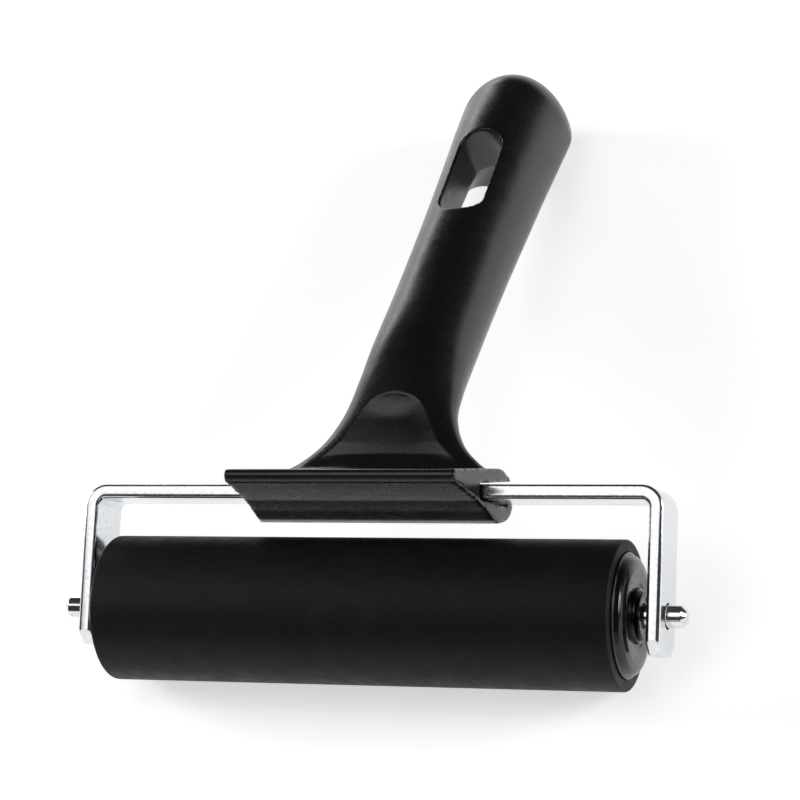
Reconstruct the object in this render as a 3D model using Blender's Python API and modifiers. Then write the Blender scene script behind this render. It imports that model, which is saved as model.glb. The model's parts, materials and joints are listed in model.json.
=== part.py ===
"""Rubber brayer: a rubber roller in a bent steel strap, held by a moulded handle.

Design frame of the pieces (all under the empty "brayer"):
  X runs along the roller, the axle's centre is the origin,
  Z runs from the axle up to the strap's crossbar, and Y runs back.
The empty tilts that frame back, so that the brayer rests on its roller and on
the back of the handle's tip, with the floor at z = 0.
"""
import math

import bmesh
import bpy
from mathutils import Matrix, Vector

MM = 0.001

# ---- roller ---------------------------------------------------------------
RUBBER_RADIUS = 15.0 * MM
RUBBER_LENGTH = 110.0 * MM
RUBBER_EDGE = 0.5 * MM
RUBBER_BORE = 12.5 * MM
CORE_RADIUS = 12.2 * MM
CORE_BORE = 9.9 * MM
CORE_HALF_LENGTH = 52.4 * MM

# ---- end caps, from the roller's middle outwards ---------------------------
CAP_FLANGE_START = 52.7 * MM
CAP_FLANGE_EDGE = 56.5 * MM
CAP_FACE = 57.2 * MM
CAP_HUB_FACE = 57.8 * MM
CAP_SPIGOT_RADIUS = 9.6 * MM
CAP_SPIGOT_WALL = 2.0 * MM
CAP_SPIGOT_START = 45.0 * MM
CAP_HUB_RADIUS = 5.5 * MM
FIT_GAP = 0.3 * MM

# ---- axle and washers ------------------------------------------------------
AXLE_RADIUS = 2.25 * MM
AXLE_HALF_LENGTH = 67.1 * MM
AXLE_CHAMFER = 0.9 * MM
AXLE_BORE = AXLE_RADIUS + FIT_GAP
WASHER_RADIUS = 4.9 * MM
WASHER_FACE = 58.5 * MM
WASHER_RECESS_RADIUS = 3.7 * MM
WASHER_RECESS_DEPTH = 0.3 * MM

# ---- strap frame -----------------------------------------------------------
STRAP_WIDTH = 12.0 * MM
STRAP_THICKNESS = 3.0 * MM
STRAP_HALF_SPAN = 61.0 * MM
STRAP_HEIGHT = 23.9 * MM
STRAP_BEND = 3.2 * MM
STRAP_EDGE = 0.55 * MM
STRAP_HOLE_RADIUS = 2.65 * MM
ARM_END = -7.9 * MM
ARM_CORNER_DROP = 2.4 * MM
ARM_CORNER_SIDE = 2.9 * MM
# the frame stands this far along the axle: the roller's end float
FRAME_SHIFT = 0.7 * MM

# ---- handle ----------------------------------------------------------------
HANDLE_LEAN = math.radians(43.1)
HANDLE_FOOT = (1.44 * MM, 30.0 * MM)
BASE_HALF_LENGTH = 25.9 * MM
BASE_END_DRAFT = 0.07
SLOT_WIDTH = 10.1 * MM
# the hang slot is straight from the front as far as its throat, then flares to the back
SLOT_LOW = 73.2 * MM
SLOT_HIGH = 102.2 * MM
SLOT_CORNER = 4.9 * MM
SLOT_FRONT = 20.0 * MM
SLOT_MOUTH = 13.5 * MM
SLOT_THROAT = 2.4 * MM
SLOT_BACK = -12.0 * MM
SLOT_SLANT = math.radians(22.0)
SLOT_FLARE = math.radians(33.0)
SLOT_BACK_EXTRA = 3.0 * MM

# ---- fineness of the round pieces -------------------------------------------
RING_POINTS = 40
ROLLER_STEPS = 64
CAP_STEPS = 48
WASHER_STEPS = 32
AXLE_STEPS = 32


def clear_scene():
    for item in list(bpy.data.objects):
        bpy.data.objects.remove(item, do_unlink=True)


def new_collection(name):
    made = bpy.data.collections.new(name)
    bpy.context.scene.collection.children.link(made)
    return made


def material(name, colour, roughness, metallic=0.0):
    made = bpy.data.materials.new(name)
    made.use_nodes = True
    shader = made.node_tree.nodes["Principled BSDF"]
    shader.inputs["Base Color"].default_value = (*colour, 1.0)
    shader.inputs["Roughness"].default_value = roughness
    shader.inputs["Metallic"].default_value = metallic
    return made


def add_object(name, mesh, collection, finish=None, parent=None):
    made = bpy.data.objects.new(name, mesh)
    collection.objects.link(made)
    if finish:
        mesh.materials.append(finish)
    made.parent = parent
    return made


def add_empty(name, collection, parent=None, location=(0, 0, 0)):
    made = bpy.data.objects.new(name, None)
    made.empty_display_size = 0.01
    collection.objects.link(made)
    made.parent = parent
    made.location = location
    return made


def as_cutter(cutter):
    cutter.hide_render = True
    cutter.display_type = "WIRE"
    return cutter


def cut(target, cutter, operation="DIFFERENCE"):
    step = target.modifiers.new(cutter.name, "BOOLEAN")
    step.operation = operation
    step.solver = "EXACT"
    step.object = cutter


def smooth(mesh, angle=35.0):
    mesh.shade_smooth()
    mesh.set_sharp_from_angle(angle=math.radians(angle))


def apply_modifiers(target):
    """Give an object the mesh that its modifiers make."""
    graph = bpy.context.evaluated_depsgraph_get()
    made = bpy.data.meshes.new_from_object(target.evaluated_get(graph))
    made.name = target.name
    target.modifiers.clear()
    target.data = made


def move_to_collection(item, collection):
    for used in list(item.users_collection):
        used.objects.unlink(item)
    collection.objects.link(item)


# ---- turned pieces -----------------------------------------------------------
def turned(name, profile, steps, collection, finish, parent, faces_left=False):
    """A closed ring of (x along the axle, radius) points, turned about X."""
    count = len(profile)
    mesh = bpy.data.meshes.new(name)
    edges = [(i, (i + 1) % count) for i in range(count)]
    mesh.from_pydata([(x, 0.0, radius) for x, radius in profile], edges, [])
    made = add_object(name, mesh, collection, finish, parent)
    turn = made.modifiers.new("turn", "SCREW")
    turn.axis = "X"
    turn.steps = steps
    turn.render_steps = steps
    turn.use_merge_vertices = True
    turn.merge_threshold = 0.00001
    apply_modifiers(made)
    smooth(made.data)
    if faces_left:
        made.rotation_euler.z = math.pi
    return made


def rounded_corner(x, radius, size, start, end, steps=3):
    """Points of a rounded corner whose arc's centre is (x, radius)."""
    angles = [start + (end - start) * i / steps for i in range(steps + 1)]
    return [(x + size * math.cos(a), radius + size * math.sin(a)) for a in angles]


def rubber_profile():
    half = RUBBER_LENGTH / 2
    inner = half - RUBBER_EDGE
    rim = RUBBER_RADIUS - RUBBER_EDGE
    right = rounded_corner(inner, rim, RUBBER_EDGE, 0.0, math.pi / 2)
    left = rounded_corner(-inner, rim, RUBBER_EDGE, math.pi / 2, math.pi)
    return [(half, RUBBER_BORE)] + right + left + [(-half, RUBBER_BORE)]


def core_profile():
    half = CORE_HALF_LENGTH
    return [(half, CORE_BORE), (half, CORE_RADIUS), (-half, CORE_RADIUS), (-half, CORE_BORE)]


def cap_profile():
    """Half section of an end cap, round from its bore over the outer face."""
    spigot_inside = CAP_SPIGOT_RADIUS - CAP_SPIGOT_WALL
    web = CAP_FLANGE_START + 1.2 * MM
    groove = 0.35 * MM
    return [
        (CAP_SPIGOT_START, AXLE_BORE),
        (CAP_HUB_FACE, AXLE_BORE),
        (CAP_HUB_FACE, CAP_HUB_RADIUS - 0.3 * MM),
        (CAP_HUB_FACE - 0.3 * MM, CAP_HUB_RADIUS),
        (CAP_FACE + 0.25 * MM, CAP_HUB_RADIUS),
        (CAP_FACE + 0.1 * MM, CAP_HUB_RADIUS + groove),
        (CAP_FACE, 9.0 * MM),
        (CAP_FACE - 0.2 * MM, 11.0 * MM),
        (CAP_FACE - 0.45 * MM, 11.6 * MM),
        (CAP_FLANGE_EDGE, 11.8 * MM),
        (CAP_FLANGE_EDGE - 0.2 * MM, CORE_RADIUS),
        (CAP_FLANGE_START, CORE_RADIUS),
        (CAP_FLANGE_START, CAP_SPIGOT_RADIUS),
        (CAP_SPIGOT_START, CAP_SPIGOT_RADIUS),
        (CAP_SPIGOT_START, spigot_inside),
        (web, spigot_inside),
        (web, CAP_HUB_RADIUS),
        (CAP_SPIGOT_START, CAP_HUB_RADIUS),
    ]


def washer_profile():
    back = CAP_HUB_FACE + FIT_GAP
    return [
        (back, AXLE_BORE),
        (WASHER_FACE - WASHER_RECESS_DEPTH, AXLE_BORE),
        (WASHER_FACE - WASHER_RECESS_DEPTH, WASHER_RECESS_RADIUS),
        (WASHER_FACE, WASHER_RECESS_RADIUS + 0.1 * MM),
        (WASHER_FACE, WASHER_RADIUS - 0.15 * MM),
        (WASHER_FACE - 0.15 * MM, WASHER_RADIUS),
        (back, WASHER_RADIUS),
    ]


def build_axle(collection, finish, parent):
    bpy.ops.mesh.primitive_cylinder_add(vertices=AXLE_STEPS, radius=AXLE_RADIUS,
                                        depth=2 * AXLE_HALF_LENGTH)
    axle = bpy.context.object
    axle.name = "axle"
    axle.data.name = "axle"
    axle.data.transform(Matrix.Rotation(math.pi / 2, 4, "Y"))
    move_to_collection(axle, collection)
    axle.data.materials.append(finish)
    axle.parent = parent
    chamfer = axle.modifiers.new("tip_chamfer", "BEVEL")
    chamfer.width = AXLE_CHAMFER
    chamfer.segments = 1
    chamfer.limit_method = "ANGLE"
    chamfer.angle_limit = math.radians(60)
    smooth(axle.data)
    return axle


# ---- strap frame ---------------------------------------------------------------
def strap_path():
    """Middle line of the right half of the strap: (x, z, half width) down to the arm's end."""
    half = STRAP_WIDTH / 2
    bend_x = STRAP_HALF_SPAN - STRAP_BEND
    bend_z = STRAP_HEIGHT - STRAP_BEND
    path = [(0.0, STRAP_HEIGHT, half)]
    steps = 8
    for i in range(steps + 1):
        angle = math.pi / 2 * (1 - i / steps)
        x = bend_x + STRAP_BEND * math.cos(angle)
        z = bend_z + STRAP_BEND * math.sin(angle)
        path.append((x, z, half))
    path.append((STRAP_HALF_SPAN, ARM_END + ARM_CORNER_DROP, half))
    path.append((STRAP_HALF_SPAN, ARM_END, half - ARM_CORNER_SIDE))
    return path


def build_strap(collection, cutters, finish, parent):
    mesh = bpy.data.meshes.new("frame_strap")
    build = bmesh.new()
    rows = []
    for x, z, half in strap_path():
        rows.append([build.verts.new((x, side * half, z)) for side in (-1, 1)])
    for upper, lower in zip(rows, rows[1:]):
        build.faces.new((upper[0], lower[0], lower[1], upper[1]))
    bmesh.ops.recalc_face_normals(build, faces=build.faces)
    build.to_mesh(mesh)
    build.free()
    strap = add_object("frame_strap", mesh, collection, finish, parent)
    mirror = strap.modifiers.new("left_half", "MIRROR")
    mirror.use_axis = (True, False, False)
    mirror.merge_threshold = 0.00005
    shell = strap.modifiers.new("thickness", "SOLIDIFY")
    shell.thickness = STRAP_THICKNESS
    shell.offset = 0.0
    shell.use_even_offset = True
    edge = strap.modifiers.new("rolled_edges", "BEVEL")
    edge.width = STRAP_EDGE
    edge.segments = 2
    edge.limit_method = "ANGLE"
    edge.angle_limit = math.radians(50)
    bpy.ops.mesh.primitive_cylinder_add(vertices=AXLE_STEPS, radius=STRAP_HOLE_RADIUS,
                                        depth=2.4 * STRAP_HALF_SPAN,
                                        rotation=(0, math.pi / 2, 0))
    hole = as_cutter(bpy.context.object)
    hole.name = "axle_holes"
    move_to_collection(hole, cutters)
    hole.parent = parent
    cut(strap, hole)
    smooth(mesh)
    return strap


# ---- handle ---------------------------------------------------------------------
def axis_point(along, forward):
    """(y, z) of a point at a distance along the grip's axis and in front of its parting plane."""
    lean_sin = math.sin(HANDLE_LEAN)
    lean_cos = math.cos(HANDLE_LEAN)
    foot_y, foot_z = HANDLE_FOOT
    return (foot_y + along * lean_sin - forward * lean_cos,
            foot_z + along * lean_cos + forward * lean_sin)


def grip_station(along, half_width, front, back):
    """A station square to the grip's axis, in mm."""
    front_point = axis_point(along * MM, front * MM)
    back_point = axis_point(along * MM, -back * MM)
    return (*front_point, *back_point, back / (front + back), half_width * MM, 2.0, 2.0)


def neck_station(front_point, back_point, widest, half_width, front_power, back_power):
    """A station of the neck, whose plane turns from the grip's to the base's."""
    values = [value * MM for value in (*front_point, *back_point)]
    return (*values, widest, half_width * MM, front_power, back_power)


# front y, front z, back y, back z, place of the widest line from back to front,
# half width, power of the front curve, power of the back curve
HANDLE_STATIONS = [
    neck_station((1.0, 25.6), (6.6, 25.6), 0.42, 26.0, 2.4, 1.2),
    neck_station((2.5, 28.5), (8.4, 28.6), 0.48, 24.6, 2.4, 1.2),
    neck_station((4.0, 31.2), (10.8, 30.8), 0.49, 20.2, 2.4, 1.3),
    neck_station((5.5, 36.4), (14.6, 34.4), 0.49, 15.5, 2.4, 1.5),
    neck_station((8.2, 44.0), (19.6, 39.2), 0.50, 12.5, 2.2, 1.8),
    neck_station((11.9, 53.3), (25.2, 44.2), 0.46, 11.6, 2.0, 1.95),
    grip_station(34.0, 11.3, 10.8, 8.5),
    grip_station(50.0, 11.2, 11.9, 8.5),
    grip_station(66.0, 11.3, 13.2, 8.4),
    grip_station(82.0, 11.7, 14.2, 8.3),
    grip_station(98.0, 12.2, 15.5, 7.9),
    grip_station(110.0, 12.8, 16.3, 7.4),
    grip_station(120.0, 13.3, 16.4, 6.9),
]
STEPS_BETWEEN_STATIONS = 3
DOME_HEIGHT = 11.5 * MM
DOME_STEPS = 7
DOME_FULLNESS = 0.9


def between(before, first, second, after, t):
    """Catmull-Rom value between two stations."""
    return 0.5 * (2 * first + (second - before) * t
                  + (2 * before - 5 * first + 4 * second - after) * t * t
                  + (3 * first - before - 3 * second + after) * t ** 3)


def smooth_stations(stations, steps):
    padded = [stations[0]] + stations + [stations[-1]]
    result = []
    for i in range(1, len(padded) - 2):
        for step in range(steps):
            window = zip(*padded[i - 1:i + 3])
            result.append([between(*values, step / steps) for values in window])
    result.append(list(stations[-1]))
    return result


def ring_points(station, scale=1.0, lift=0.0):
    """Points of one closed section of the handle, lifted along the grip's axis."""
    front_y, front_z, back_y, back_z, widest, half_width, front_power, back_power = station
    front = Vector((0, front_y, front_z))
    back = Vector((0, back_y, back_z))
    centre = back.lerp(front, widest)
    middle = back.lerp(front, 0.5)
    axis = Vector((0, math.sin(HANDLE_LEAN), math.cos(HANDLE_LEAN)))
    points = []
    for i in range(RING_POINTS):
        angle = math.tau * (i + 0.5) / RING_POINTS
        forward = math.sin(angle) > 0
        power = front_power if forward else back_power
        arm = (front - centre) if forward else (back - centre)
        deep = abs(math.sin(angle)) ** (2 / power)
        point = centre + arm * deep + Vector((half_width * math.cos(angle), 0, 0))
        points.append(middle + (point - middle) * scale + axis * lift)
    return points


def handle_rings():
    """Sections of the handle from its foot to its domed tip, and the tip's point."""
    stations = smooth_stations(HANDLE_STATIONS, STEPS_BETWEEN_STATIONS)
    rings = [ring_points(station) for station in stations]
    last = HANDLE_STATIONS[-1]
    for i in range(1, DOME_STEPS):
        angle = math.pi / 2 * i / DOME_STEPS
        scale = math.cos(angle) ** DOME_FULLNESS
        rings.append(ring_points(last, scale, DOME_HEIGHT * math.sin(angle)))
    tip = ring_points(last, 0.0, DOME_HEIGHT)[0]
    return rings, tip


def bridged(name, rings, tip=None):
    """A closed mesh over a row of rings, ending in a flat face or in a tip."""
    mesh = bpy.data.meshes.new(name)
    build = bmesh.new()
    rows = [[build.verts.new(point) for point in ring] for ring in rings]
    for lower, upper in zip(rows, rows[1:]):
        for i in range(len(lower)):
            j = (i + 1) % len(lower)
            build.faces.new((lower[i], lower[j], upper[j], upper[i]))
    build.faces.new(rows[0])
    last = rows[-1]
    if tip is None:
        build.faces.new(last)
    else:
        peak = build.verts.new(tip)
        for i in range(len(last)):
            build.faces.new((last[i], last[(i + 1) % len(last)], peak))
    bmesh.ops.recalc_face_normals(build, faces=build.faces)
    build.to_mesh(mesh)
    build.free()
    return mesh


def arc(centre_y, centre_z, radius, start, end, steps):
    """Arc points in the (y, z) plane, angles in degrees from +Y towards +Z."""
    points = []
    for i in range(steps + 1):
        angle = math.radians(start + (end - start) * i / steps)
        points.append((centre_y + radius * math.cos(angle), centre_z + radius * math.sin(angle)))
    return points


def base_outline():
    """The clamp base in section, in mm: top, front lip, underside, back lip."""
    outline = [(3.0, 29.6), (-20.7, 26.4)]
    outline += arc(-20.7, 25.6, 0.8, 96, 190, 4)
    outline += [(-20.6, 23.9), (-18.0, 23.6), (-12.9, 22.95), (-8.5, 22.2)]
    outline += [(-3.3, 20.3), (0.2, 18.95)]
    outline += arc(2.7, 21.6, 3.2, 240, 290, 4)
    outline += [(6.2, 19.1), (8.2, 20.1), (9.6, 21.5), (10.3, 23.0)]
    outline += [(10.2, 24.0), (9.4, 27.0), (7.0, 28.6), (4.6, 29.5)]
    return outline


def slot_outline():
    """The strap's slot in section, in mm, open to the back over a lip that keeps the strap in."""
    outline = [(13.0, 23.2), (7.4, 23.0), (6.4, 22.1), (-5.9, 22.05)]
    outline += arc(-5.9, 23.85, 1.8, 270, 95, 7)
    outline += [(-2.8, 25.9), (2.4, 26.7), (7.7, 27.4), (13.0, 27.9)]
    return outline


def extruded_outline(name, outline, half_length, collection, draft=0.0):
    """A (y, z) outline in mm extruded along X, with ends that follow the draft."""
    curve = bpy.data.curves.new(name, "CURVE")
    curve.dimensions = "2D"
    curve.fill_mode = "BOTH"
    curve.extrude = half_length
    spline = curve.splines.new("POLY")
    spline.points.add(len(outline) - 1)
    for point, (y, z) in zip(spline.points, outline):
        point.co = (y * MM, z * MM, 0.0, 1.0)
    spline.use_cyclic_u = True
    drawn = bpy.data.objects.new(name, curve)
    collection.objects.link(drawn)
    shape = bpy.data.meshes.new_from_object(drawn.evaluated_get(bpy.context.evaluated_depsgraph_get()))
    bpy.data.objects.remove(drawn, do_unlink=True)
    shape.name = name
    build = bmesh.new()
    build.from_mesh(shape)
    bmesh.ops.remove_doubles(build, verts=build.verts, dist=0.00001)
    turn = Matrix(((0, 0, 1, 0), (1, 0, 0, 0), (0, 1, 0, 0), (0, 0, 0, 1)))
    bmesh.ops.transform(build, matrix=turn, verts=build.verts)
    for vert in build.verts:
        vert.co.x += math.copysign(1.0, vert.co.x) * draft * vert.co.y
    bmesh.ops.recalc_face_normals(build, faces=build.faces)
    build.to_mesh(shape)
    build.free()
    return add_object(name, shape, collection)


def slot_section(centre_along, forward, half_width, half_length, steps=6):
    """A section of the hang slot with round ends, square to the grip's front."""
    points = []
    corners = ((1, 1, 0), (-1, 1, 90), (-1, -1, 180), (1, -1, 270))
    for side, end, start in corners:
        for i in range(steps + 1):
            angle = math.radians(start + 90 * i / steps)
            x = side * (half_width - SLOT_CORNER) + SLOT_CORNER * math.cos(angle)
            along = end * (half_length - SLOT_CORNER) + SLOT_CORNER * math.sin(angle)
            y, z = axis_point(centre_along + along, forward)
            points.append(Vector((x, y, z)))
    return points


def hang_slot_cutter(cutters, parent):
    """The hang slot slants up the grip from its mouth in the front to its back."""
    middle = (SLOT_LOW + SLOT_HIGH) / 2
    half_length = (SLOT_HIGH - SLOT_LOW) / 2
    half_width = SLOT_WIDTH / 2
    slant = math.tan(SLOT_SLANT)
    back_middle = middle + (SLOT_MOUTH - SLOT_BACK) * slant / 2 + SLOT_BACK_EXTRA
    back_half_width = half_width + (SLOT_THROAT - SLOT_BACK) * math.tan(SLOT_FLARE)
    rings = [
        slot_section(middle - (SLOT_FRONT - SLOT_MOUTH) * slant, SLOT_FRONT, half_width, half_length),
        slot_section(middle + (SLOT_MOUTH - SLOT_THROAT) * slant, SLOT_THROAT, half_width, half_length),
        slot_section(back_middle, SLOT_BACK, back_half_width, half_length + SLOT_BACK_EXTRA),
    ]
    mesh = bridged("hang_slot", rings)
    return as_cutter(add_object("hang_slot", mesh, cutters, parent=parent))


def build_handle(collection, cutters, finish, parent):
    rings, tip = handle_rings()
    handle = add_object("handle", bridged("handle", rings, tip), collection, finish, parent)
    base = extruded_outline("clamp_base", base_outline(), BASE_HALF_LENGTH, cutters, BASE_END_DRAFT)
    base.parent = parent
    cut(handle, as_cutter(base), "UNION")
    slot = extruded_outline("strap_slot", slot_outline(), 1.4 * BASE_HALF_LENGTH, cutters)
    slot.parent = parent
    cut(handle, as_cutter(slot))
    cut(handle, hang_slot_cutter(cutters, parent))
    smooth(handle.data)
    return handle


# ---- rest pose --------------------------------------------------------------------
def rest_tilt(points):
    """Tilt about X that brings the handle's lowest point level with the roller's underside."""
    low, high = 0.0, math.pi / 2
    for _ in range(40):
        tilt = (low + high) / 2
        lowest = min(point.z * math.cos(tilt) - point.y * math.sin(tilt) for point in points)
        if lowest < -RUBBER_RADIUS:
            high = tilt
        else:
            low = tilt
    return low


def rest_shift(points, tilt):
    """Shift along Y that puts the middle of the resting brayer over the origin."""
    back = max(point.y * math.cos(tilt) + point.z * math.sin(tilt) for point in points)
    return (RUBBER_RADIUS - back) / 2


def main():
    clear_scene()
    parts = new_collection("rubber_brayer")
    cutters = new_collection("cutters")
    plastic = material("black_moulded_plastic", (0.018, 0.018, 0.019), 0.42)
    gloss = material("black_gloss_plastic", (0.012, 0.012, 0.013), 0.2)
    rubber = material("black_rubber", (0.016, 0.015, 0.015), 0.62)
    steel = material("plated_steel", (0.78, 0.79, 0.8), 0.16, 1.0)
    pin_steel = material("bright_steel", (0.7, 0.69, 0.67), 0.22, 1.0)
    core_plastic = material("grey_core_plastic", (0.2, 0.2, 0.2), 0.5)

    brayer = add_empty("brayer", parts)
    frame = add_empty("frame_axis", parts, brayer, (FRAME_SHIFT, 0, 0))
    roller = add_empty("roller_axis", parts, brayer)

    build_handle(parts, cutters, plastic, frame)
    build_strap(parts, cutters, steel, frame)
    turned("roller_rubber", rubber_profile(), ROLLER_STEPS, parts, rubber, roller)
    turned("roller_core", core_profile(), ROLLER_STEPS, parts, core_plastic, roller)
    for side, faces_left in (("right", False), ("left", True)):
        turned(f"end_cap_{side}", cap_profile(), CAP_STEPS, parts, gloss, roller, faces_left)
        turned(f"thrust_washer_{side}", washer_profile(), WASHER_STEPS, parts, gloss, roller,
               faces_left)
    build_axle(parts, pin_steel, roller)

    rings, tip = handle_rings()
    points = [point for ring in rings for point in ring] + [tip]
    tilt = rest_tilt(points)
    brayer.rotation_euler = (-tilt, 0, 0)
    brayer.location = (0, rest_shift(points, tilt), RUBBER_RADIUS)


main()
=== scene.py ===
"""Looks of the rubber brayer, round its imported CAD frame.

Lengths are millimetres in the tool's own frame: X along the axle, Z from the
axle up to the strap's crossbar, Y back. Each piece is made there and then
seated in the row frame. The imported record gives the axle's place, the strap's
shift along it and the tilt at rest.
"""
import json
import math

import bmesh
import bpy
from mathutils import Matrix, Vector


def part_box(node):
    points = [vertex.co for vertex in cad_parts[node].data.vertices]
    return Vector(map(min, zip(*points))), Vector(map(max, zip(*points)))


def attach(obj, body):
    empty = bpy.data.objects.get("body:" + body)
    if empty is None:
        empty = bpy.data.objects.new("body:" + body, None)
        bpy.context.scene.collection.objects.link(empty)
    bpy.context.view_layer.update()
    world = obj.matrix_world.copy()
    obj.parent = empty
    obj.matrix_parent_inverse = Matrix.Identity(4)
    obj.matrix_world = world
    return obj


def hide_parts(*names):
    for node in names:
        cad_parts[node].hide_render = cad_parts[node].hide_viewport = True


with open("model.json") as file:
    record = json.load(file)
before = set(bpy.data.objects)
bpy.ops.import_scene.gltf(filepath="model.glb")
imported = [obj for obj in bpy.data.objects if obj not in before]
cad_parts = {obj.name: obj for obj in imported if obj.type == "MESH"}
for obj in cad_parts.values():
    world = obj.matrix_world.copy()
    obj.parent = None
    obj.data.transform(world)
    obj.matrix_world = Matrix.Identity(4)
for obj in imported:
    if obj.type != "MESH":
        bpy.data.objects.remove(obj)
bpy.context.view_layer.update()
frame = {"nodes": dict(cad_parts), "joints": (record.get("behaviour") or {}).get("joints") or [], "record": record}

# ---- where the frame is ------------------------------------------------------
MM = 0.001
AXLE_PLACE = Vector(frame["joints"][0]["pos_m"])
ARM_FACE = next(Vector(mount["pos_m"]) for mount in frame["record"]["mounts"]
                if mount["name"] == "right_arm_face")
STRAP_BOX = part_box("frame_strap")
FRAME_SHIFT = (STRAP_BOX[0].x + STRAP_BOX[1].x) / 2
REST_TILT = math.atan2(ARM_FACE.y - AXLE_PLACE.y, ARM_FACE.z - AXLE_PLACE.z)
ROLLER_SEAT = (Matrix.Translation(AXLE_PLACE) @ Matrix.Rotation(-REST_TILT, 4, "X")
               @ Matrix.Scale(MM, 4))
FRAME_SEAT = Matrix.Translation((FRAME_SHIFT, 0, 0)) @ ROLLER_SEAT

# ---- roller --------------------------------------------------------------------
RUBBER_RADIUS = 15.0
RUBBER_HALF_LENGTH = 55.0
RUBBER_BORE = 12.5
CAP_START = 52.7
CAP_FACE = 57.2
CAP_HUB_FACE = 57.8
CAP_RADIUS = 12.2
CAP_SPIGOT_START = 45.0
CAP_SPIGOT_RADIUS = 9.6
CAP_WALL = 2.0
CAP_WEB = 1.2
CAP_HUB_RADIUS = 5.5
CAP_BORE = 2.55
AXLE_RADIUS = 2.25
AXLE_HALF_LENGTH = 67.1
AXLE_CHAMFER = 0.9
WASHER_START = 58.1
WASHER_FACE = 58.5
WASHER_RADIUS = 4.9

# ---- strap ---------------------------------------------------------------------
STRAP_HALF_WIDTH = 6.0
STRAP_HALF_THICKNESS = 1.5
STRAP_EDGE = 0.85
STRAP_HALF_SPAN = 61.0
STRAP_HEIGHT = 23.9
STRAP_BEND = 3.2
STRAP_HOLE = 2.65
HOLE_CHAMFER = 0.1
CUTTER_OVERRUN = 1.0
ARM_END = -7.9
ARM_CORNER_DROP = 2.4
ARM_CORNER_SIDE = 2.9
ARM_END_SHRINK = 0.86
ARM_END_BEVEL = 0.05

# ---- handle --------------------------------------------------------------------
HANDLE_LEAN = math.radians(43.1)
HANDLE_FOOT = (1.44, 30.0)  # y and z of the grip's axis where it leaves the base
BASE_HALF_LENGTH = 25.9
BASE_END_DRAFT = 0.07
STRAP_SLOT_HALF_LENGTH = 36.26
DOME_HEIGHT = 11.5
DOME_FULLNESS = 0.9
DOME_STEPS = 24
RING_POINTS = 96
STATION_STEPS = 8
# the hang slot, from low to high along the grip's axis and from front to back through the grip
SLOT_WIDTH = 10.1
SLOT_LOW = 73.2
SLOT_HIGH = 102.2
SLOT_CORNER = 4.9
SLOT_CORNER_STEPS = 8
SLOT_FRONT = 20.0
SLOT_MOUTH = 13.5
SLOT_THROAT = 2.4
SLOT_BACK = -12.0
SLOT_SLANT = math.radians(22.0)
SLOT_FLARE = math.radians(33.0)
SLOT_BACK_EXTRA = 3.0
HANDLE_VOXEL = 0.4
HANDLE_SOFTENING = 5
# the dish in the neck's front, by height
DISH_DEPTH = 2.0
DISH_TOP = 46.6
DISH_TOP_ROUNDING = 6.0
DISH_FOOT = 27.0
DISH_FADE_START = 29.0
DISH_FADE = 4.0

# ---- camera, in the tool's frame --------------------------------------------------
CAMERA_AZIMUTH = math.radians(20.42)
CAMERA_ELEVATION = math.radians(-8.26)
CAMERA_ROLL = math.radians(2.48)
CAMERA_DISTANCE = 590.0
CAMERA_TARGET = Vector((4.67, 0.0, 43.36))
CAMERA_LENS = 129.8

# ---- floor and sky, in metres ----------------------------------------------------------
FLOOR_LEVEL = -0.0002
FLOOR_HALF_SIZE = 4.0
FLOOR_ROUGHNESS = 0.6
FLOOR_GLOW = 0.6
SKY_LIGHT = 0.04


# ---- mesh helpers ------------------------------------------------------------------
def filleted(outline, radius, steps=4, closed=True):
    """The outline with rounded corners. A point may hold its own radius as a third value."""
    largest_share = 0.45
    count = len(outline)
    result = []
    for i, point in enumerate(outline):
        own = point[2] if len(point) > 2 else radius
        corner = Vector(point[:2])
        if own == 0 or (not closed and i in (0, count - 1)):
            result.append(corner)
            continue
        before = Vector(outline[i - 1][:2]) - corner
        after = Vector(outline[(i + 1) % count][:2]) - corner
        half_angle = before.angle(after) / 2
        shorter = min(before.length, after.length)
        reach = min(own / math.tan(half_angle), largest_share * shorter)
        start = corner + before.normalized() * reach
        end = corner + after.normalized() * reach
        for step in range(steps + 1):
            t = step / steps
            result.append(start * (1 - t) ** 2 + corner * 2 * t * (1 - t) + end * t * t)
    return result


def lofted(name, rings, loop=False):
    """A closed mesh over a row of rings, with flat ends unless the row is a loop."""
    mesh = bpy.data.meshes.new(name)
    build = bmesh.new()
    rows = [[build.verts.new(point) for point in ring] for ring in rings]
    following = rows[1:] + rows[:1] if loop else rows[1:]
    for lower, upper in zip(rows, following):
        for i in range(len(lower)):
            j = (i + 1) % len(lower)
            build.faces.new((lower[i], lower[j], upper[j], upper[i]))
    if not loop:
        build.faces.new(rows[0])
        build.faces.new(rows[-1])
    bmesh.ops.recalc_face_normals(build, faces=build.faces)
    build.to_mesh(mesh)
    build.free()
    return mesh


def turned(name, profile, steps, loop=True):
    """(x, radius) points turned about the axle's line."""
    rings = []
    for x, radius in profile:
        turns = [math.tau * (i + 0.5) / steps for i in range(steps)]
        rings.append([Vector((x, radius * math.cos(a), radius * math.sin(a))) for a in turns])
    return lofted(name, rings, loop)


def shaded(mesh, angle=32.0):
    """Smooth shading, with the edges past an angle in degrees left sharp."""
    mesh.shade_smooth()
    mesh.set_sharp_from_angle(angle=math.radians(angle))
    return mesh


def temporary(mesh):
    """An object that holds a mesh in the scene for as long as modifiers need it."""
    made = bpy.data.objects.new(mesh.name, mesh)
    bpy.context.scene.collection.objects.link(made)
    return made


def baked(item):
    """The mesh that an object's modifiers make. The object is removed."""
    graph = bpy.context.evaluated_depsgraph_get()
    mesh = bpy.data.meshes.new_from_object(item.evaluated_get(graph))
    bpy.data.objects.remove(item, do_unlink=True)
    return mesh


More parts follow.
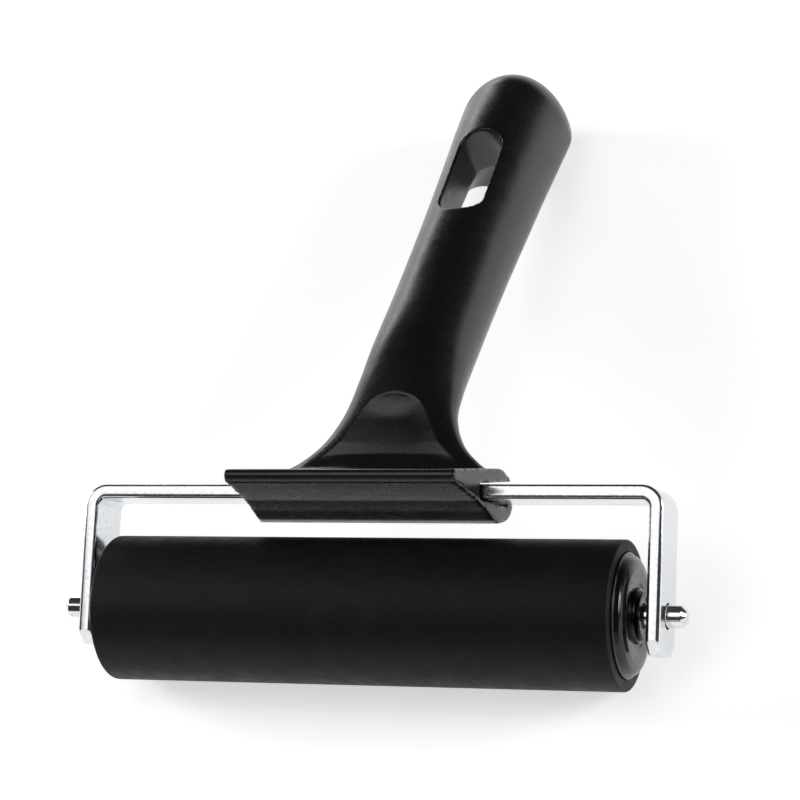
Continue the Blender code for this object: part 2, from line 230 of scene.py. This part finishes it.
def cut(mesh, cutter, operation="DIFFERENCE"):
    """The mesh after a boolean operation with the cutter."""
    target = temporary(mesh)
    tool = temporary(cutter)
    step = target.modifiers.new("cut", "BOOLEAN")
    step.operation = operation
    step.solver = "EXACT"
    step.object = tool
    result = baked(target)
    bpy.data.objects.remove(tool, do_unlink=True)
    return result


def seated(name, mesh, seat, body, node, look):
    """Put a finished mesh in the row frame, on its body, in place of its CAD node."""
    mesh.transform(seat)
    mesh.name = name
    mesh.materials.clear()
    mesh.materials.append(look)
    piece = bpy.data.objects.new(name, mesh)
    bpy.context.scene.collection.objects.link(piece)
    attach(piece, body)
    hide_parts(node)


# ---- roller pieces -------------------------------------------------------------------
def rubber_mesh():
    """The rubber tube, with slightly rounded edges."""
    half = RUBBER_HALF_LENGTH
    outline = [(half, RUBBER_BORE, 0.25), (half, RUBBER_RADIUS, 0.55),
               (-half, RUBBER_RADIUS, 0.55), (-half, RUBBER_BORE, 0.25)]
    return shaded(turned("rubber", filleted(outline, 0.5, 5), 192))


def cap_mesh(side):
    """A moulded end cap: rim bead, drafted rim, dished face, stepped hub and spigot."""
    spigot_inside = CAP_SPIGOT_RADIUS - CAP_WALL
    web = CAP_START + CAP_WEB
    outline = [
        (CAP_SPIGOT_START, CAP_BORE, 0.1),
        (CAP_HUB_FACE, CAP_BORE, 0.15),
        (CAP_HUB_FACE, 3.9, 0.1),
        (CAP_HUB_FACE - 0.25, 4.1, 0.1),
        (CAP_HUB_FACE - 0.25, 4.5, 0.1),
        (CAP_HUB_FACE, 4.7, 0.1),
        (CAP_HUB_FACE, CAP_HUB_RADIUS, 0.3),
        (CAP_FACE - 0.35, CAP_HUB_RADIUS + 0.1, 0.2),
        (CAP_FACE - 0.35, CAP_HUB_RADIUS + 0.7, 0.25),
        (CAP_FACE - 0.05, CAP_HUB_RADIUS + 1.1, 0.3),
        (CAP_FACE, 9.4, 1.5),
        (CAP_FACE - 0.25, 11.0, 0.8),
        (CAP_FACE - 0.85, CAP_RADIUS - 0.45, 0.5),
        (CAP_FACE - 1.6, CAP_RADIUS - 0.2, 0.2),
        (RUBBER_HALF_LENGTH + 0.5, CAP_RADIUS - 0.15, 0.15),
        (RUBBER_HALF_LENGTH + 0.35, CAP_RADIUS + 0.3, 0.14),
        (RUBBER_HALF_LENGTH + 0.05, CAP_RADIUS + 0.3, 0.1),
        (RUBBER_HALF_LENGTH - 0.1, CAP_RADIUS, 0.1),
        (CAP_START, CAP_RADIUS, 0.2),
        (CAP_START, CAP_SPIGOT_RADIUS, 0.2),
        (CAP_SPIGOT_START, CAP_SPIGOT_RADIUS, 0.3),
        (CAP_SPIGOT_START, spigot_inside, 0.1),
        (web, spigot_inside, 0.4),
        (web, CAP_HUB_RADIUS, 0.4),
        (CAP_SPIGOT_START, CAP_HUB_RADIUS, 0.1),
    ]
    profile = [(side * x, radius) for x, radius in filleted(outline, 0.2, 4)]
    return shaded(turned("cap", profile, 128), 40)


def washer_mesh(side):
    """A thrust washer with a stepped face."""
    outline = [
        (WASHER_START, CAP_BORE, 0.05),
        (WASHER_FACE - 0.25, CAP_BORE, 0.1),
        (WASHER_FACE - 0.25, 3.5, 0.1),
        (WASHER_FACE, 3.75, 0.1),
        (WASHER_FACE, WASHER_RADIUS, 0.15),
        (WASHER_START, WASHER_RADIUS, 0.1),
    ]
    profile = [(side * x, radius) for x, radius in filleted(outline, 0.1, 3)]
    return shaded(turned("washer", profile, 96), 40)


def axle_mesh():
    """The axle with chamfered tips, each with a shallow turned centre."""
    end = AXLE_HALF_LENGTH
    tip = [
        (end - 0.25, 0.02, 0),
        (end - 0.02, 0.55, 0.1),
        (end, AXLE_RADIUS - AXLE_CHAMFER, 0.1),
        (end - AXLE_CHAMFER, AXLE_RADIUS, 0.15),
    ]
    outline = tip + [(-x, *rest) for x, *rest in reversed(tip)]
    return shaded(turned("axle", filleted(outline, 0.2, 4, closed=False), 96, loop=False), 40)


# ---- strap ------------------------------------------------------------------------------
def strap_stations():
    """Right half of the strap's middle line: x, z, direction of its outer face, half width."""
    stations = [(0.0, STRAP_HEIGHT, math.pi / 2, STRAP_HALF_WIDTH)]
    steps = 20
    for i in range(steps + 1):
        angle = math.pi / 2 * (1 - i / steps)
        x = STRAP_HALF_SPAN - STRAP_BEND + STRAP_BEND * math.cos(angle)
        z = STRAP_HEIGHT - STRAP_BEND + STRAP_BEND * math.sin(angle)
        stations.append((x, z, angle, STRAP_HALF_WIDTH))
    corner_start = ARM_END + ARM_CORNER_DROP
    narrow = STRAP_HALF_WIDTH - ARM_CORNER_SIDE
    clipped = [
        (corner_start + 0.35, STRAP_HALF_WIDTH),
        (corner_start - 0.2, STRAP_HALF_WIDTH - 0.35),
        (ARM_END + 0.25, narrow + 0.3),
        (ARM_END + 0.05, narrow),
    ]
    for z, half in clipped:
        stations.append((STRAP_HALF_SPAN, z, 0.0, half))
    return stations


def strap_mesh():
    """The bent bar with rounded edges, clipped arm ends and a chamfered hole in each arm."""
    right = strap_stations()
    left = [(-x, z, math.pi - angle, half) for x, z, angle, half in right[:0:-1]]
    rings = []
    thick = STRAP_HALF_THICKNESS
    for x, z, angle, half in left + right:
        corners = [(thick, -half), (thick, half), (-thick, half), (-thick, -half)]
        section = filleted(corners, STRAP_EDGE, 5)
        rings.append([Vector((x + out * math.cos(angle), y, z + out * math.sin(angle)))
                      for out, y in section])
    for end in (0, -1):
        middle = sum(rings[end], Vector()) / len(rings[end])
        last = [middle + (point - middle) * ARM_END_SHRINK + Vector((0, 0, -ARM_END_BEVEL))
                for point in rings[end]]
        rings.insert(0 if end == 0 else len(rings), last)
    mesh = lofted("strap", rings)
    inner = STRAP_HALF_SPAN - thick
    outer = STRAP_HALF_SPAN + thick
    wide = STRAP_HOLE + CUTTER_OVERRUN + HOLE_CHAMFER
    profile = [(inner - CUTTER_OVERRUN, wide), (inner + HOLE_CHAMFER, STRAP_HOLE),
               (outer - HOLE_CHAMFER, STRAP_HOLE), (outer + CUTTER_OVERRUN, wide)]
    for side in (-1, 1):
        hole = turned("hole", [(side * x, radius) for x, radius in profile], 72, loop=False)
        mesh = cut(mesh, hole)
    return shaded(mesh)


# ---- handle --------------------------------------------------------------------------------
def axis_point(along, forward):
    """(y, z) of a point at a distance along the grip's axis and in front of its parting plane."""
    lean_sin = math.sin(HANDLE_LEAN)
    lean_cos = math.cos(HANDLE_LEAN)
    foot_y, foot_z = HANDLE_FOOT
    return (foot_y + along * lean_sin - forward * lean_cos,
            foot_z + along * lean_cos + forward * lean_sin)


def grip_station(along, half_width, front, back):
    """A station square to the grip's axis, by its depth before and behind the axis."""
    return (*axis_point(along, front), *axis_point(along, -back), back / (front + back),
            half_width, 2.0, 2.0)


# front y, front z, back y, back z, place of the widest line from the back to the front,
# half width, power of the front curve, power of the back curve
HANDLE_STATIONS = [
    (1.0, 25.6, 6.6, 25.6, 0.42, 26.0, 2.4, 1.2),
    (2.5, 28.5, 8.4, 28.6, 0.48, 24.6, 2.4, 1.2),
    (4.0, 31.2, 10.8, 30.8, 0.49, 20.2, 2.4, 1.3),
    (5.5, 36.4, 14.6, 34.4, 0.49, 15.5, 2.4, 1.5),
    (8.2, 44.0, 19.6, 39.2, 0.50, 12.5, 2.2, 1.8),
    (11.9, 53.3, 25.2, 44.2, 0.46, 11.6, 2.0, 1.95),
    grip_station(34.0, 11.3, 10.8, 8.5),
    grip_station(50.0, 11.2, 11.9, 8.5),
    grip_station(66.0, 11.3, 13.2, 8.4),
    grip_station(82.0, 11.7, 14.2, 8.3),
    grip_station(98.0, 12.2, 15.5, 7.9),
    grip_station(110.0, 12.8, 16.3, 7.4),
    grip_station(120.0, 13.3, 16.4, 6.9),
]


def between(before, first, second, after, t):
    """Catmull-Rom value between two stations."""
    return 0.5 * (2 * first + (second - before) * t
                  + (2 * before - 5 * first + 4 * second - after) * t * t
                  + (3 * first - before - 3 * second + after) * t ** 3)


def smooth_stations(stations, steps):
    """The stations with smooth steps in between."""
    padded = [stations[0]] + stations + [stations[-1]]
    result = []
    for i in range(1, len(padded) - 2):
        for step in range(steps):
            window = zip(*padded[i - 1:i + 3])
            result.append([between(*values, step / steps) for values in window])
    result.append(list(stations[-1]))
    return result


def ring_points(station, scale=1.0, lift=0.0):
    """Points of one closed section of the handle, lifted along the grip's axis."""
    front_y, front_z, back_y, back_z, widest, half_width, front_power, back_power = station
    front = Vector((0, front_y, front_z))
    back = Vector((0, back_y, back_z))
    centre = back.lerp(front, widest)
    middle = back.lerp(front, 0.5)
    axis = Vector((0, math.sin(HANDLE_LEAN), math.cos(HANDLE_LEAN)))
    points = []
    for i in range(RING_POINTS):
        angle = math.tau * (i + 0.5) / RING_POINTS
        forward = math.sin(angle) > 0
        power = front_power if forward else back_power
        arm = (front - centre) if forward else (back - centre)
        deep = abs(math.sin(angle)) ** (2 / power)
        point = centre + arm * deep + Vector((half_width * math.cos(angle), 0, 0))
        points.append(middle + (point - middle) * scale + axis * lift)
    return points


def grip_mesh():
    """The neck and the grip, closed by a dome."""
    rings = [ring_points(station) for station in smooth_stations(HANDLE_STATIONS, STATION_STEPS)]
    last = HANDLE_STATIONS[-1]
    for i in range(1, DOME_STEPS):
        angle = math.pi / 2 * i / DOME_STEPS
        scale = math.cos(angle) ** DOME_FULLNESS
        rings.append(ring_points(last, scale, DOME_HEIGHT * math.sin(angle)))
    return lofted("grip", rings)


def base_outline():
    """The clamp base in section: top, front lip, concave front, underside, back lip."""
    return filleted([
        (3.0, 29.6, 2.0), (-20.9, 26.5, 0.9), (-21.4, 25.3, 0.8), (-20.6, 23.9, 0.6),
        (-18.0, 23.45, 2.0), (-12.9, 22.5, 3.0), (-8.5, 21.65, 3.0), (-3.3, 20.1, 3.0),
        (0.6, 18.6, 2.0), (2.9, 18.3, 2.0), (6.6, 19.0, 2.5), (9.4, 21.0, 2.0),
        (10.3, 23.0, 0.5), (10.2, 24.0, 1.0), (9.4, 27.0, 1.5), (7.0, 28.6, 1.5),
        (4.6, 29.5, 1.5)], 1.0, 4)


def strap_slot_outline():
    """The strap's slot in section, open at the base's back, where a lip stands behind the strap."""
    return filleted([
        (13.0, 23.2, 0), (7.4, 23.0, 0.4), (6.4, 22.1, 0.2), (-7.7, 22.05, 1.6), (-7.7, 25.5, 1.6),
        (-2.8, 25.9, 0), (2.4, 26.7, 0), (7.7, 27.4, 0), (13.0, 27.9, 0)], 1.0, 5)


def extruded(name, outline, half_length, draft=0.0):
    """A (y, z) outline drawn out along X, with ends that follow the draft."""
    rings = []
    for side in (-1, 1):
        rings.append([Vector((side * (half_length + draft * y), y, z)) for y, z in outline])
    return lofted(name, rings)


def slot_section(centre_along, forward, half_width, half_length):
    """A section of the hang slot, at a distance in front of the grip's parting plane."""
    points = []
    corners = ((1, 1, 0), (-1, 1, 90), (-1, -1, 180), (1, -1, 270))
    for side, end, start in corners:
        for i in range(SLOT_CORNER_STEPS + 1):
            angle = math.radians(start + 90 * i / SLOT_CORNER_STEPS)
            x = side * (half_width - SLOT_CORNER) + SLOT_CORNER * math.cos(angle)
            along = end * (half_length - SLOT_CORNER) + SLOT_CORNER * math.sin(angle)
            points.append(Vector((x, *axis_point(centre_along + along, forward))))
    return points


def hang_slot_mesh():
    """The hang slot's cutter: it slants up the grip and flares out behind."""
    middle = (SLOT_LOW + SLOT_HIGH) / 2
    half_length = (SLOT_HIGH - SLOT_LOW) / 2
    half_width = SLOT_WIDTH / 2
    slant = math.tan(SLOT_SLANT)
    back_middle = middle + (SLOT_MOUTH - SLOT_BACK) * slant / 2 + SLOT_BACK_EXTRA
    back_half_width = half_width + (SLOT_THROAT - SLOT_BACK) * math.tan(SLOT_FLARE)
    front_middle = middle - (SLOT_FRONT - SLOT_MOUTH) * slant
    throat_middle = middle + (SLOT_MOUTH - SLOT_THROAT) * slant
    return lofted("hang_slot", [
        slot_section(front_middle, SLOT_FRONT, half_width, half_length),
        slot_section(throat_middle, SLOT_THROAT, half_width, half_length),
        slot_section(back_middle, SLOT_BACK, back_half_width, half_length + SLOT_BACK_EXTRA),
    ])


# height and half width of the neck's dish, from its foot to its top
DISH_EDGE = [(DISH_FOOT, 24.0), (31.8, 15.5), (33.5, 13.1), (35.6, 10.9), (38.1, 9.4),
             (40.8, 8.0), (42.6, 7.0), (44.3, 5.9), (45.6, 4.2), (DISH_TOP, 0.5)]


def dish_half_width(z):
    """Half the dish's width at a height."""
    for (low, wide), (high, narrow) in zip(DISH_EDGE, DISH_EDGE[1:]):
        if z <= high:
            return wide + (narrow - wide) * (z - low) / (high - low)
    return 0.0


def dish_depth(x, z):
    """How deep the neck's front is dished at (x, z)."""
    if not DISH_FOOT < z < DISH_TOP:
        return 0.0
    across = min(abs(x) / dish_half_width(z), 1.0)
    down = min((DISH_TOP - z) / DISH_TOP_ROUNDING, 1.0)
    foot = min(max((z - DISH_FADE_START) / DISH_FADE, 0.0), 1.0)
    return DISH_DEPTH * (1 - across ** 2) * math.sin(down * math.pi / 2) * foot


def handle_mesh():
    """The moulding: grip, base and both slots in one, with every edge softened."""
    base = extruded("base", base_outline(), BASE_HALF_LENGTH, BASE_END_DRAFT)
    mesh = cut(grip_mesh(), base, "UNION")
    mesh = cut(mesh, extruded("strap_slot", strap_slot_outline(), STRAP_SLOT_HALF_LENGTH))
    mesh = cut(mesh, hang_slot_mesh())
    item = temporary(mesh)
    remesh = item.modifiers.new("even", "REMESH")
    remesh.mode = "VOXEL"
    remesh.voxel_size = HANDLE_VOXEL
    soften = item.modifiers.new("soften", "SMOOTH")
    soften.factor = 0.5
    soften.iterations = HANDLE_SOFTENING
    mesh = baked(item)
    normals = [vert.normal.copy() for vert in mesh.vertices]
    for vert, normal in zip(mesh.vertices, normals):
        faces_front = normal.y < -0.2
        if faces_front:
            vert.co.y += dish_depth(vert.co.x, vert.co.z)
    mesh.shade_smooth()
    return mesh


# ---- materials --------------------------------------------------------------------------------
class Look:
    """A Principled material and short ways to add its procedural nodes."""

    def __init__(self, name, metallic=0.0, ior=1.46):
        self.material = bpy.data.materials.new(name)
        self.material.use_nodes = True
        self.nodes = self.material.node_tree.nodes
        self.links = self.material.node_tree.links
        self.shader = self.nodes["Principled BSDF"]
        self.shader.inputs["Metallic"].default_value = metallic
        self.shader.inputs["IOR"].default_value = ior
        self.place = self.nodes.new("ShaderNodeTexCoord").outputs["Object"]

    def node(self, kind, inputs):
        """A new node. An input that is another node's socket is linked."""
        made = self.nodes.new("ShaderNode" + kind)
        for key, value in inputs.items():
            if isinstance(value, bpy.types.NodeSocket):
                self.links.new(value, made.inputs[key])
            else:
                made.inputs[key].default_value = value
        return made

    def stretched(self, scale):
        """The object's coordinates, scaled apart along each axis."""
        return self.node("Mapping", {"Vector": self.place, "Scale": scale}).outputs["Vector"]

    def noise(self, size, detail, rough, place=None):
        """Noise whose features are about size mm across."""
        made = self.node("TexNoise", {"Vector": place or self.place, "Scale": 1 / (size * MM),
                                      "Detail": detail, "Roughness": rough})
        return made.outputs["Fac"]

    def spread(self, value, low, high, new_low, new_high):
        """The value's range from low to high, mapped to a new range."""
        made = self.node("MapRange", {"Value": value, "From Min": low, "From Max": high,
                                      "To Min": new_low, "To Max": new_high})
        return made.outputs["Result"]

    def tones(self, value, stops):
        """A colour ramp with (place, colour) stops."""
        ramp = self.nodes.new("ShaderNodeValToRGB")
        while len(ramp.color_ramp.elements) < len(stops):
            ramp.color_ramp.elements.new(0.5)
        for element, (at, colour) in zip(ramp.color_ramp.elements, stops):
            element.position = at
            element.color = (*colour, 1.0)
        self.links.new(value, ramp.inputs["Fac"])
        return ramp.outputs["Color"]

    def feed(self, socket, value):
        self.links.new(value, self.shader.inputs[socket])

    def bumps(self, *layers):
        """Bump layers of (height socket, depth in mm, strength), one on the other."""
        normal = None
        for height, depth, strength in layers:
            inputs = {"Height": height, "Distance": depth * MM, "Strength": strength}
            if normal is not None:
                inputs["Normal"] = normal
            normal = self.node("Bump", inputs).outputs["Normal"]
        self.feed("Normal", normal)


def grained_plastic():
    """Black moulded plastic with a fine eroded grain, worn a little shinier in patches."""
    look = Look("grained_black_plastic", ior=1.5)
    grain = look.noise(0.35, 2.0, 0.6)
    fine = look.noise(0.12, 1.0, 0.5)
    waves = look.noise(9.0, 2.0, 0.4)
    look.feed("Base Color", look.tones(look.noise(1.1, 4.0, 0.7), [
        (0.30, (0.004, 0.004, 0.0045)), (0.62, (0.006, 0.006, 0.0065)),
        (0.78, (0.012, 0.012, 0.0125))]))
    look.feed("Roughness", look.spread(look.noise(4.0, 4.0, 0.6), 0.3, 0.7, 0.23, 0.32))
    look.bumps((waves, 0.15, 0.3), (grain, 0.05, 0.5), (fine, 0.015, 0.4))
    return look.material


def gloss_plastic():
    """Glossy black plastic, slightly wavy and a little duller in patches."""
    look = Look("gloss_black_plastic", ior=1.45)
    look.feed("Base Color", look.tones(look.noise(2.0, 3.0, 0.6), [
        (0.35, (0.003, 0.003, 0.0035)), (0.70, (0.006, 0.006, 0.0065))]))
    look.feed("Roughness", look.spread(look.noise(1.5, 4.0, 0.65), 0.35, 0.7, 0.14, 0.27))
    look.bumps((look.noise(5.0, 2.0, 0.5), 0.12, 0.3), (look.noise(0.25, 2.0, 0.6), 0.008, 0.4))
    return look.material


def ground_rubber():
    """Black rubber with the fine round-and-round marks of grinding and a dusty bloom."""
    look = Look("ground_rubber", ior=1.26)
    rings = look.noise(0.30, 3.0, 0.7, look.stretched((1.0, 0.02, 0.02)))
    grit = look.noise(0.16, 2.0, 0.6)
    look.feed("Base Color", look.tones(look.noise(7.0, 5.0, 0.65), [
        (0.32, (0.0055, 0.0055, 0.006)), (0.55, (0.007, 0.007, 0.0077)),
        (0.75, (0.011, 0.0108, 0.011))]))
    look.feed("Roughness", look.spread(look.noise(3.0, 4.0, 0.6), 0.3, 0.7, 0.46, 0.60))
    look.bumps((rings, 0.02, 0.5), (grit, 0.02, 0.5))
    return look.material


def plated_steel():
    """Bright zinc plate: fine spangle, faint rolling marks and a slight blue cast."""
    look = Look("zinc_plate", metallic=1.0)
    spangle_size = 0.9
    spangle = look.node("TexVoronoi", {"Vector": look.place, "Scale": 1 / (spangle_size * MM)})
    look.feed("Base Color", look.tones(look.noise(0.8, 5.0, 0.7), [
        (0.30, (0.60, 0.62, 0.65)), (0.50, (0.72, 0.74, 0.765)), (0.72, (0.80, 0.81, 0.825))]))
    look.feed("Roughness", look.spread(look.noise(0.6, 5.0, 0.7), 0.3, 0.7, 0.12, 0.26))
    grey = look.node("RGBToBW", {"Color": spangle.outputs["Color"]}).outputs["Val"]
    look.bumps((look.noise(6.0, 3.0, 0.5), 0.05, 0.2), (grey, 0.001, 0.2),
               (look.noise(0.2, 3.0, 0.6), 0.002, 0.3))
    return look.material


def drawn_steel():
    """Bright drawn bar with fine turned rings."""
    look = Look("drawn_steel", metallic=1.0)
    rings = look.noise(0.14, 3.0, 0.6, look.stretched((1.0, 0.03, 0.03)))
    look.feed("Base Color", look.tones(look.noise(1.6, 4.0, 0.6), [
        (0.35, (0.64, 0.63, 0.61)), (0.65, (0.80, 0.79, 0.77))]))
    look.feed("Roughness", look.spread(rings, 0.3, 0.7, 0.08, 0.18))
    look.bumps((rings, 0.002, 0.3))
    return look.material


def core_plastic():
    """Plain grey plastic, for the tube inside the rubber."""
    look = Look("core_plastic")
    look.feed("Base Color", look.tones(look.noise(3.0, 4.0, 0.6), [
        (0.3, (0.17, 0.17, 0.17)), (0.7, (0.23, 0.23, 0.225))]))
    look.feed("Roughness", look.spread(look.noise(1.0, 3.0, 0.6), 0.3, 0.7, 0.42, 0.58))
    look.bumps((look.noise(0.4, 2.0, 0.6), 0.02, 0.4))
    return look.material


# ---- pieces --------------------------------------------------------------------------------------
def build_pieces():
    """Each visual piece in place of its CAD node. The hidden core keeps its CAD mesh."""
    gloss = gloss_plastic()
    seated("moulded_handle", handle_mesh(), FRAME_SEAT, "frame", "handle",
           grained_plastic())
    seated("plated_strap", strap_mesh(), FRAME_SEAT, "frame", "frame_strap",
           plated_steel())
    seated("rubber_sleeve", rubber_mesh(), ROLLER_SEAT, "roller", "roller_rubber",
           ground_rubber())
    for name, side in (("right", 1), ("left", -1)):
        seated(f"moulded_cap_{name}", cap_mesh(side), ROLLER_SEAT, "roller", f"end_cap_{name}",
               gloss)
        seated(f"moulded_washer_{name}", washer_mesh(side), ROLLER_SEAT, "roller",
               f"thrust_washer_{name}", gloss)
    seated("drawn_axle", axle_mesh(), ROLLER_SEAT, "roller", "axle", drawn_steel())
    frame["nodes"]["roller_core"].material_slots[0].material = core_plastic()


# ---- studio ----------------------------------------------------------------------------------------
def build_floor():
    """A pale floor that glows a little, as a light table does."""
    look = Look("pale_floor")
    look.feed("Base Color", look.tones(look.noise(60.0, 3.0, 0.5), [
        (0.3, (0.88, 0.88, 0.88)), (0.7, (0.92, 0.92, 0.92))]))
    look.shader.inputs["Roughness"].default_value = FLOOR_ROUGHNESS
    look.shader.inputs["Emission Color"].default_value = (1.0, 1.0, 1.0, 1.0)
    look.shader.inputs["Emission Strength"].default_value = FLOOR_GLOW
    half = FLOOR_HALF_SIZE
    mesh = bpy.data.meshes.new("floor")
    corners = [(-half, -half), (half, -half), (half, half), (-half, half)]
    mesh.from_pydata([(x, y, FLOOR_LEVEL) for x, y in corners], [], [(0, 1, 2, 3)])
    mesh.materials.append(look.material)
    floor = bpy.data.objects.new("floor", mesh)
    bpy.context.scene.collection.objects.link(floor)


def softbox(name, place, width, height, power):
    """A soft light at a place in metres, turned towards the brayer."""
    data = bpy.data.lights.new(name, "AREA")
    data.shape = "RECTANGLE"
    data.size = width
    data.size_y = height
    data.energy = power
    lamp = bpy.data.objects.new(name, data)
    bpy.context.scene.collection.objects.link(lamp)
    lamp.location = place
    lamp.rotation_euler = (-Vector(place)).to_track_quat("-Z", "Y").to_euler()


def build_lights():
    """Soft lights low at the sides, behind and in front, and one above, under a dim sky."""
    softbox("left_softbox", (-1.3, 0.1, 0.5), 0.5, 0.5, 10)
    softbox("right_softbox", (1.3, 0.1, 0.5), 0.5, 0.5, 10)
    softbox("back_left_softbox", (-1.3, 1.7, 0.22), 1.4, 0.4, 6)
    softbox("top_softbox", (-0.32, -0.38, 1.1), 0.8, 0.8, 3.0)
    softbox("front_softbox", (0.3, -1.6, 0.3), 1.4, 0.5, 1.0)
    world = bpy.data.worlds.new("studio")
    world.use_nodes = True
    background = world.node_tree.nodes["Background"]
    background.inputs["Color"].default_value = (1.0, 1.0, 1.0, 1.0)
    background.inputs["Strength"].default_value = SKY_LIGHT
    bpy.context.scene.world = world


def build_camera():
    """A camera placed by its angles round the tool, then seated with it."""
    azimuth, elevation, roll = CAMERA_AZIMUTH, CAMERA_ELEVATION, CAMERA_ROLL
    forward = Vector((-math.sin(azimuth) * math.cos(elevation),
                      math.cos(azimuth) * math.cos(elevation),
                      -math.sin(elevation)))
    level = Vector((math.cos(azimuth), math.sin(azimuth), 0))
    upright = level.cross(forward)
    right = level * math.cos(roll) + upright * math.sin(roll)
    up = right.cross(forward)
    turn = Matrix((right, up, -forward)).transposed()
    place = CAMERA_TARGET - forward * CAMERA_DISTANCE
    tilt = Matrix.Rotation(-REST_TILT, 3, "X")
    data = bpy.data.cameras.new("camera")
    data.lens = CAMERA_LENS
    camera = bpy.data.objects.new("camera", data)
    bpy.context.scene.collection.objects.link(camera)
    camera.matrix_world = Matrix.Translation(FRAME_SEAT @ place) @ (tilt @ turn).to_4x4()
    bpy.context.scene.camera = camera
    bpy.context.scene.view_settings.view_transform = "Standard"


build_pieces()
build_floor()
build_lights()
build_camera()
